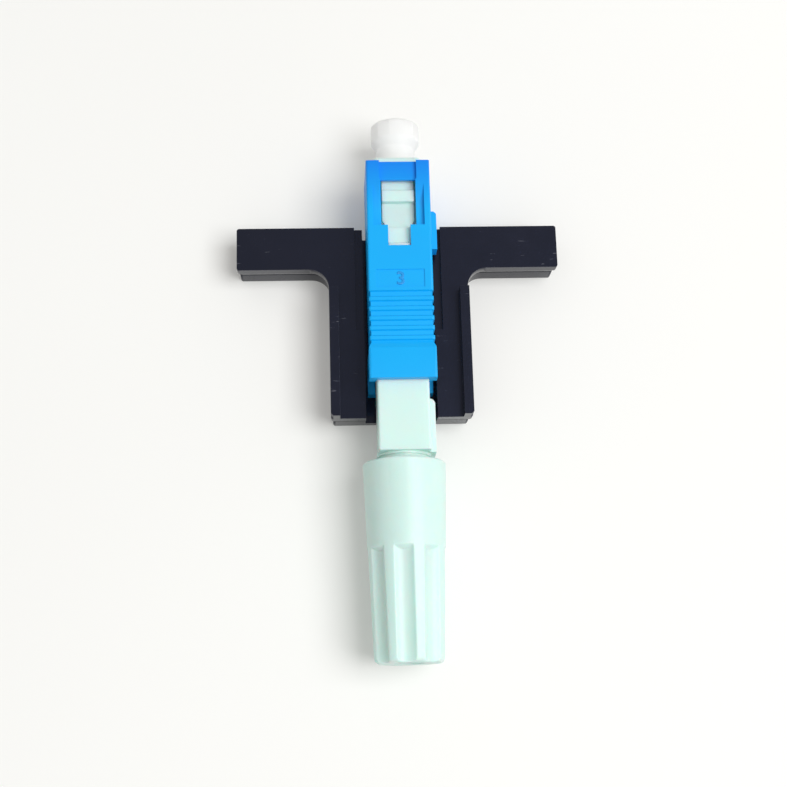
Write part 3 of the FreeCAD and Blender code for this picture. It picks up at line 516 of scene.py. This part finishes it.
def tail_thread():
    """The whole ridge as one mesh of closed runs."""
    shape = bmesh.new()
    first = THREAD_START + RUN_IN
    solid_turns = (SLIT_START - THREAD_START - RUN_IN) / PITCH
    ridge_run(shape, 0.0, math.tau * solid_turns, first)
    quarter = math.tau / SLIT_COUNT
    place = math.ceil(solid_turns * SLIT_COUNT)
    while first + (place + 1) * PITCH / SLIT_COUNT < THREAD_END - RUN_OUT:
        start = place * quarter + SLIT_HALF_ANGLE
        ridge_run(shape, start, quarter - 2 * SLIT_HALF_ANGLE,
                  first + PITCH * start / math.tau)
        place += 1
    bmesh.ops.recalc_face_normals(shape, faces=shape.faces)
    return show(to_mesh(shape, "tail_thread"), "tail_thread", body="connector")


thread = tail_thread()
print("thread ridge:", len(thread.data.polygons), "faces")

# %% [markdown]
# ## The number in the panel
#
# A mould with several cavities numbers each, so that a bad one can be found again. The figure
# stands up from the sunk panel on the shell and stays just below the shell's surface. It is
# set as text, made a mesh, and only then sized and put in place.

# %% The cavity number
GLYPH_TALL = 1.6
GLYPH_RISE = 0.09
PANEL_MIDDLE = 14.45
PANEL_FLOOR_UP = 4.38
TEXT_MERGE = 0.0001


def raised_text(characters):
    """A text as a mesh, with a little thickness and rounded rims."""
    letters = bpy.data.curves.new("cavity_number_text", "FONT")
    letters.body = characters
    letters.size = 1.0
    letters.extrude = 0.05
    letters.bevel_depth = 0.018
    letters.bevel_resolution = 2
    letters.resolution_u = 8
    text = put_in_scene("cavity_number_text", letters)
    bpy.context.view_layer.update()
    mesh = bpy.data.meshes.new_from_object(text)
    bpy.data.objects.remove(text)
    return mesh


def cavity_number():
    """A raised figure, lying flat with its head towards the cap."""
    mesh = raised_text("3")
    shape = bmesh.new()
    shape.from_mesh(mesh)
    bmesh.ops.remove_doubles(shape, verts=shape.verts, dist=TEXT_MERGE)
    low = Vector([min(vert.co[i] for vert in shape.verts) for i in range(3)])
    high = Vector([max(vert.co[i] for vert in shape.verts) for i in range(3)])
    bmesh.ops.translate(shape, vec=-(low + high) / 2, verts=shape.verts)
    flat = GLYPH_TALL * MM / (high.y - low.y)
    deep = 2 * GLYPH_RISE * MM / (high.z - low.z)
    bmesh.ops.scale(shape, vec=(flat, flat, deep), verts=shape.verts)
    bmesh.ops.translate(shape, vec=(0, back(PANEL_MIDDLE), axis_z + PANEL_FLOOR_UP * MM),
                        verts=shape.verts)
    shape.to_mesh(mesh)
    shape.free()
    return show(mesh, "cavity_number", body="shell")


number = cavity_number()
print("number:", len(number.data.polygons), "faces")

# %% [markdown]
# ## Moulded plastics
#
# No plastic is one even colour, so most materials here drift between two close colours with a
# noise. Gloss drifts in the same way, and relief comes from a noise too. A mix node has
# sockets for numbers, vectors and colours under the same names, so the ones for colours are
# picked by their places.

# %% Helpers for coloured surfaces
MIX_FIRST, MIX_SECOND, MIX_RESULT = 6, 7, 2


def mix_colors(tree, source, output, first, second):
    """A colour that an output draws from the first towards the second."""
    mix = add(tree, "ShaderNodeMix", {MIX_FIRST: first, MIX_SECOND: second},
              data_type="RGBA")
    link(tree, source, output, mix, "Factor")
    return mix


def stretch_space(tree, place, scale, turn=0.0):
    """Object coordinates turned about the upright axis and stretched along the axes."""
    mapping = add(tree, "ShaderNodeMapping", {"Scale": scale, "Rotation": (0.0, 0.0, turn)})
    link(tree, place, "Object", mapping, "Vector")
    return mapping


def add_relief(tree, source, output, strength, depth):
    """Relief on a surface's shader, that many millimetres deep."""
    bump = add(tree, "ShaderNodeBump", {"Strength": strength, "Distance": depth * MM})
    link(tree, source, output, bump, "Height")
    link(tree, bump, "Normal", tree.nodes["Principled BSDF"], "Normal")


print("surface helpers ready")

# %% [markdown]
# All the plastics but the cap's share one recipe. A fine noise makes the skin that the mould
# leaves, a slower one varies its gloss, and one that is stretched long and thin makes the hair
# scratches. Scratches show only in patches. Rounded edges are made paler in places, partly as
# rubbed wear and partly as a painted highlight, and the attribute that was kept for them says
# where they are. What differs is the colour, the gloss, the depth of the skin, how worn the
# piece is and how much its edges are paled.

# %% A moulded plastic
CLOUD_SCALE = 160.0
HAIR_SCALE = 5200.0
HAIR_TURN = 0.5
PATCH_SCALE = 420.0
GRAIN_SCALE = 3800.0
HAIR_SHARE = 0.6
RELIEF_STRENGTH = 0.35
SCUFF_FROM, SCUFF_FULL = 0.40, 0.45
EDGE_PATCH_FROM, EDGE_PATCH_FULL = 0.35, 0.60
EDGE_PATCH_LEAST = 0.3
PLASTIC_IOR = 1.5


def pale_edges(tree, patch, edge_rub_and_highlight):
    """How far each place is paled, by rubbed wear and a painted highlight: only on the rounded
    edges, and more in some patches.
    """
    edge = add(tree, "ShaderNodeAttribute", attribute_name=EDGE_MARK)
    edge_paling = map_range(tree, patch, "Fac", EDGE_PATCH_LEAST * edge_rub_and_highlight, edge_rub_and_highlight,
                       EDGE_PATCH_FROM, EDGE_PATCH_FULL)
    return combine(tree, "MULTIPLY", (edge, "Fac"), (edge_paling, "Result"))


def moulded_plastic(name, light, dark, gloss, skin, wear=0.0, edge_rub_and_highlight=0.0,
                    wear_and_highlight_color=(0.3, 0.3, 0.32, 1), hair=(1.0, 0.08, 1.0), bend=0.0):
    """An injection-moulded plastic: two close colours, uneven gloss, skin, scratches, and edges
    paled by wear and a painted highlight.
    """
    plastic, tree, shader = start_material(name)
    place = add(tree, "ShaderNodeTexCoord")
    cloud = add_noise(tree, place, "Object", CLOUD_SCALE, 3.0)
    hairs = add_noise(tree, stretch_space(tree, place, hair, HAIR_TURN), "Vector",
                      HAIR_SCALE, 2.0, Distortion=bend)
    patch = add_noise(tree, place, "Object", PATCH_SCALE, 4.0, Roughness=0.6)
    grain = add_noise(tree, place, "Object", GRAIN_SCALE, 3.0)

    scuff = combine(tree, "MULTIPLY", (hairs, "Fac"), (patch, "Fac"))
    mask = map_range(tree, scuff, "Value", 0.0, wear, SCUFF_FROM, SCUFF_FULL)
    # The edges are paled partly as rubbed wear and partly as a painted highlight.
    along = pale_edges(tree, patch, edge_rub_and_highlight)
    both = combine(tree, "MAXIMUM", (mask, "Result"), (along, "Value"))
    tint = mix_colors(tree, cloud, "Fac", light, dark)
    scratched_and_paled = mix_colors(tree, both, "Value", light, wear_and_highlight_color)
    link(tree, tint, MIX_RESULT, scratched_and_paled, MIX_FIRST)
    link(tree, scratched_and_paled, MIX_RESULT, shader, "Base Color")

    shine = map_range(tree, patch, "Fac", *gloss)
    rough = combine(tree, "ADD", (shine, "Result"), (mask, "Result"))
    link(tree, rough, "Value", shader, "Roughness")

    relief = add(tree, "ShaderNodeMath", {1: HAIR_SHARE}, operation="MULTIPLY_ADD")
    link(tree, hairs, "Fac", relief, 0)
    link(tree, grain, "Fac", relief, 2)
    add_relief(tree, relief, "Value", RELIEF_STRENGTH, skin)
    set_inputs(shader, {"IOR": PLASTIC_IOR})
    return plastic


def finish_piece(name, material):
    """Give a visible piece its material."""
    piece = visible[name]
    piece.data.materials.clear()
    piece.data.materials.append(material)


print("pieces to finish:", len(visible))

# %% [markdown]
# Shade is painted into the blue over the last few millimetres at the nose, which is darker
# there. The number stands up too little to show from a distance, so it gets a darker and
# smoother blue of its own, whose darkness is painted shade.

# %% The blue shell
NOSE_PAINTED_SHADE = (0.0005, 0.215, 0.830, 1)
NOSE_SHADE_REACH = 6.0
NOSE_SHADE_MOST = 0.95


def shade_the_nose(material, nose_shade_color, reach, most):
    """Paint shade into a plastic's colour over the last few millimetres before the front face.
    """
    tree, shader = material.node_tree, shader_of(material)
    parts = add(tree, "ShaderNodeSeparateXYZ")
    link(tree, tree.nodes["Texture Coordinate"], "Object", parts, "Vector")
    # The share of painted shade grows towards the front face.
    share = map_range(tree, parts, "Y", 0.0, most, back(reach), back(0))
    shaded_nose = mix_colors(tree, share, "Result", nose_shade_color, nose_shade_color)
    plain = shader.inputs["Base Color"].links[0].from_socket
    tree.links.new(plain, shaded_nose.inputs[MIX_FIRST])
    link(tree, shaded_nose, MIX_RESULT, shader, "Base Color")


# The shell's edges are paled a little in places, partly as rubbed wear and partly as a painted
# highlight.
blue = moulded_plastic("shell_blue_plastic", (0.001, 0.440, 0.930, 1),
                       (0.001, 0.385, 0.890, 1), gloss=(0.30, 0.42), skin=0.010,
                       edge_rub_and_highlight=0.3, wear_and_highlight_color=(0.06, 0.56, 0.98, 1))
set_inputs(shader_of(blue), {"Specular IOR Level": 0.25})
shade_the_nose(blue, NOSE_PAINTED_SHADE, NOSE_SHADE_REACH, NOSE_SHADE_MOST)
finish_piece("grip_shell", blue)

# The figure's darker blue is painted shade, for the shading that its low relief cannot cast.
figure_shade_blue = moulded_plastic("figure_shade_blue_plastic", (0.001, 0.300, 0.760, 1),
                              (0.001, 0.270, 0.700, 1), gloss=(0.20, 0.30), skin=0.006)
finish_piece("cavity_number", figure_shade_blue)
print("shell finished")

# %% [markdown]
# The pale mint is less opaque than the blue and the black. Light goes a millimetre or so into
# it and comes out greener, because red goes the shortest way. That lifts its shaded sides a
# little.

# %% The mint plastic
mint = moulded_plastic("mint_plastic", (0.680, 0.870, 0.825, 1), (0.640, 0.850, 0.795, 1),
                       gloss=(0.34, 0.48), skin=0.012)
set_inputs(shader_of(mint), {"Subsurface Weight": 0.7, "Subsurface Scale": 1.2 * MM,
                             "Subsurface Radius": (0.4, 1.0, 0.85)})
for name in ("plug_frame", "rear_body", "tail_nut", "tail_thread"):
    finish_piece(name, mint)
print("mint pieces finished")

# %% [markdown]
# The tool is a glossy black. Seen from above it is almost black, because a plastic throws
# back only a few hundredths of the light that meets it squarely, but its upright walls are
# met at a slant and mirror the pale bench. That comes from the shader's own Fresnel, so the
# colour itself stays very dark. The faint blue of the gloss is the specular tint. It is the
# most handled piece, so it has the most scratches.

# %% The black tool
# The tool's rounded edges are paled in places, partly as rubbed wear and partly as a painted
# highlight.
black = moulded_plastic("tool_black_plastic", (0.0010, 0.0020, 0.0045, 1),
                        (0.0070, 0.0068, 0.0120, 1), gloss=(0.16, 0.34), skin=0.03,
                        wear=0.4, edge_rub_and_highlight=0.25, wear_and_highlight_color=(0.20, 0.20, 0.23, 1),
                        hair=(0.09, 1.0, 1.0), bend=0.7)
set_inputs(shader_of(black), {
    "Specular Tint": (0.44, 0.52, 0.95, 1),
    "IOR": 1.33,
    "Coat Weight": 0.5,
    "Coat IOR": 1.25,
    "Coat Roughness": 0.06,
})
finish_piece("wedge_tool", black)
print("tool finished")

# %% [markdown]
# The cap is a soft milky plastic. Some light goes straight through it and most is spread
# inside it, so its shaded side is nearly as pale as its lit one. A very slight glow stands for
# what the bright bench sends up through it.

# %% The milky cap
HAZE_SCALE = 500.0


def drift_between(tree, source, first, second, gloss):
    """Let one noise draw a surface between two colours and between two roughnesses."""
    shader = tree.nodes["Principled BSDF"]
    tint = mix_colors(tree, source, "Fac", first, second)
    link(tree, tint, MIX_RESULT, shader, "Base Color")
    shine = map_range(tree, source, "Fac", *gloss)
    link(tree, shine, "Result", shader, "Roughness")


def milky_plastic():
    """A translucent soft plastic, cloudy enough to hide the ferrule inside it."""
    milk, tree, shader = start_material("cap_milky_plastic")
    set_inputs(shader, {
        "Transmission Weight": 0.25,
        "Subsurface Weight": 0.8,
        "Subsurface Radius": (1.0, 1.0, 1.0),
        "Subsurface Scale": 3.0 * MM,
        "IOR": 1.4,
        "Emission Color": WARM_WHITE,
        "Emission Strength": 0.07,
    })
    place = add(tree, "ShaderNodeTexCoord")
    haze = add_noise(tree, place, "Object", HAZE_SCALE, 3.0)
    drift_between(tree, haze, (0.94, 0.945, 0.935, 1), (0.91, 0.92, 0.91, 1), (0.35, 0.55))
    return milk


finish_piece("dust_cap", milky_plastic())
print("cap finished")

# %% [markdown]
# ## The pieces inside
#
# Eleven pieces lie inside. The end of the ferrule shows when the cap is off and most of the
# others stay hidden, but each still gets a finish of its own. All but the coil keep their
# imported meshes, and only their material slots change. The ferrule is polished zirconia.

# %% The ferrule of polished ceramic
CERAMIC_SCALE = 900.0


def coat(node, material):
    """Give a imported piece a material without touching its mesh."""
    piece = frame["nodes"][node]
    if not piece.material_slots:
        piece.data.materials.append(None)
    for place in piece.material_slots:
        place.link = "OBJECT"
        place.material = material


def zirconia():
    """A white ceramic polished with fine diamond: almost even, with a faint cloud."""
    ceramic, tree, shader = start_material("ferrule_zirconia")
    set_inputs(shader, {"IOR": 2.1, "Subsurface Weight": 0.3, "Subsurface Scale": 0.4 * MM})
    place = add(tree, "ShaderNodeTexCoord")
    cloud = add_noise(tree, place, "Object", CERAMIC_SCALE, 3.0)
    drift_between(tree, cloud, (0.88, 0.87, 0.83, 1), (0.83, 0.82, 0.77, 1), (0.06, 0.16))
    return ceramic


coat("ferrule", zirconia())
print("ferrule finished")

# %% [markdown]
# A turned or drawn metal shows the track of its tool. Noise that is stretched a long way
# across the fibre's axis gives the rings of the lathe on the ferrule's brass collar, and
# noise stretched along that axis gives fine lines on the steel clips and coil.

# %% Worked metal
MARK_SCALE = 6000.0


def worked_metal(name, light, dark, stretch, rough):
    """A metal with the fine parallel marks of a lathe or a die."""
    metal, tree, shader = start_material(name)
    set_inputs(shader, {"Metallic": 1.0})
    place = add(tree, "ShaderNodeTexCoord")
    marks = add_noise(tree, stretch_space(tree, place, stretch), "Vector", MARK_SCALE, 3.0)
    drift_between(tree, marks, light, dark, rough)
    add_relief(tree, marks, "Fac", 0.4, 0.004)
    return metal


turned_brass = worked_metal("flange_turned_brass", (0.80, 0.66, 0.38, 1),
                            (0.68, 0.54, 0.29, 1), (0.05, 1.0, 0.05), (0.18, 0.36))
coat("ferrule_flange", turned_brass)
drawn_steel = worked_metal("drawn_spring_steel", (0.62, 0.62, 0.63, 1),
                           (0.48, 0.48, 0.50, 1), (0.3, 0.06, 1.0), (0.20, 0.42))
for node in ("splice_clip_front", "splice_clip_rear"):
    coat(node, drawn_steel)
finish_piece("ferrule_spring", drawn_steel)
print("metals finished")

# %% [markdown]
# The splice is moulded from a stiff grey plastic filled with mineral powder, so it is duller
# than the mint. The stub of fibre is bare glass. The collet is the mint of the nut.

# %% Splice, fibre and collet
DUST_SCALE = 8000.0


def bare_glass():
    """Clear silica with a trace of dust."""
    glass, tree, shader = start_material("fibre_bare_glass")
    set_inputs(shader, {"Base Color": (0.93, 0.97, 0.98, 1), "Transmission Weight": 1.0,
                        "IOR": 1.46})
    place = add(tree, "ShaderNodeTexCoord")
    dust = add_noise(tree, place, "Object", DUST_SCALE, 2.0)
    haze = map_range(tree, dust, "Fac", 0.02, 0.3, start=0.5)
    link(tree, haze, "Result", shader, "Roughness")
    return glass


grey = moulded_plastic("splice_grey_plastic", (0.50, 0.52, 0.53, 1), (0.43, 0.45, 0.46, 1),
                       gloss=(0.45, 0.62), skin=0.015)
for node in ("splice_base", "splice_cover_front", "splice_cover_rear", "fibre_guide"):
    coat(node, grey)
coat("clamp_collet", mint)
coat("fibre_stub", bare_glass())
print("inner pieces finished")
